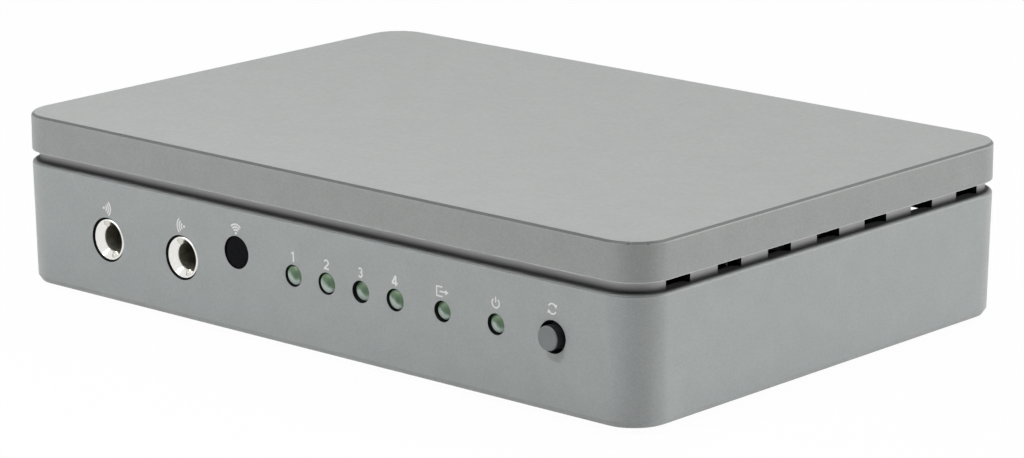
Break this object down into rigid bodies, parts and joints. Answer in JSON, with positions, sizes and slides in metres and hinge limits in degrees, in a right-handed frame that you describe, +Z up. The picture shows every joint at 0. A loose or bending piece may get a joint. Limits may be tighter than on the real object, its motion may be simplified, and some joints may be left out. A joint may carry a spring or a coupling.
{
  "type": "video switch box",
  "caption": "Small desktop video switch box with vented lid, front indicator lights, jacks and a push button, and rear video sockets.",
  "frame": {"origin": "on the desk under the middle of the case, at the level of the feet's undersides", "axes": "+X to the right of the front, +Y from the front to the rear, +Z up"},
  "size_m": [0.115, 0.0796, 0.025],
  "materials": {
    "case_base_plastic": "satin metallic grey",
    "case_lid_plastic": "satin metallic grey",
    "screw_steel": "zinc",
    "board_laminate": "gloss",
    "dark_window": "gloss",
    "receiver_epoxy": "gloss",
    "tinned_lead": "satin",
    "button_plastic": "satin",
    "black_nylon": "matte",
    "stamped_steel": "satin",
    "plated_contact": "satin",
    "gold_contact": "satin",
    "chip_epoxy": "matte",
    "black_anodised": "satin",
    "can_aluminium": "satin",
    "ferrite": "matte",
    "ceramic_chip": "matte",
    "foot_rubber": "matte",
    "nickel_ferrule": "satin",
    "green_lens": "clear tinted"
  },
  "bodies": {
    "case": {"base_shell": "case_base_plastic", "lid_shell": "case_lid_plastic", "case_screws": "screw_steel", "main_board": "board_laminate", "ir_window": "dark_window", "ir_receiver": "receiver_epoxy", "ir_receiver_leads": "tinned_lead", "select_switch_housing": "black_nylon", "select_switch_cover": "stamped_steel", "select_switch_contacts": "tinned_lead", "dc_jack_housing": "black_nylon", "dc_jack_pin": "plated_contact", "dc_jack_spring": "plated_contact", "switch_chip": "chip_epoxy", "chip_heatsink": "black_anodised", "controller_chip": "chip_epoxy", "capacitors": "can_aluminium", "power_coil": "ferrite", "regulator": "chip_epoxy", "crystal": "can_aluminium", "small_passives": "ceramic_chip", "rubber_feet": "foot_rubber", "ir_blaster_jack_body": "black_nylon", "ir_blaster_jack_ferrule": "nickel_ferrule", "ir_blaster_jack_contacts": "plated_contact", "ir_extender_jack_body": "black_nylon", "ir_extender_jack_ferrule": "nickel_ferrule", "ir_extender_jack_contacts": "plated_contact", "led_input_1_lens": "green_lens", "led_input_1_leads": "tinned_lead", "led_input_2_lens": "green_lens", "led_input_2_leads": "tinned_lead", "led_input_3_lens": "green_lens", "led_input_3_leads": "tinned_lead", "led_input_4_lens": "green_lens", "led_input_4_leads": "tinned_lead", "led_output_lens": "green_lens", "led_output_leads": "tinned_lead", "led_power_lens": "green_lens", "led_power_leads": "tinned_lead", "video_in_1_shell": "stamped_steel", "video_in_1_insulator": "black_nylon", "video_in_1_contacts": "gold_contact", "video_in_2_shell": "stamped_steel", "video_in_2_insulator": "black_nylon", "video_in_2_contacts": "gold_contact", "video_in_3_shell": "stamped_steel", "video_in_3_insulator": "black_nylon", "video_in_3_contacts": "gold_contact", "video_in_4_shell": "stamped_steel", "video_in_4_insulator": "black_nylon", "video_in_4_contacts": "gold_contact", "video_out_shell": "stamped_steel", "video_out_insulator": "black_nylon", "video_out_contacts": "gold_contact"},
    "button": {"select_button": "button_plastic"}
  },
  "joints": [
    {"name": "button_press", "type": "slide", "parent": "case", "child": "button", "axis": [0, 1, 0], "range_m": [0, 0.00025], "stiffness_N_per_m": 3000}
  ]
}
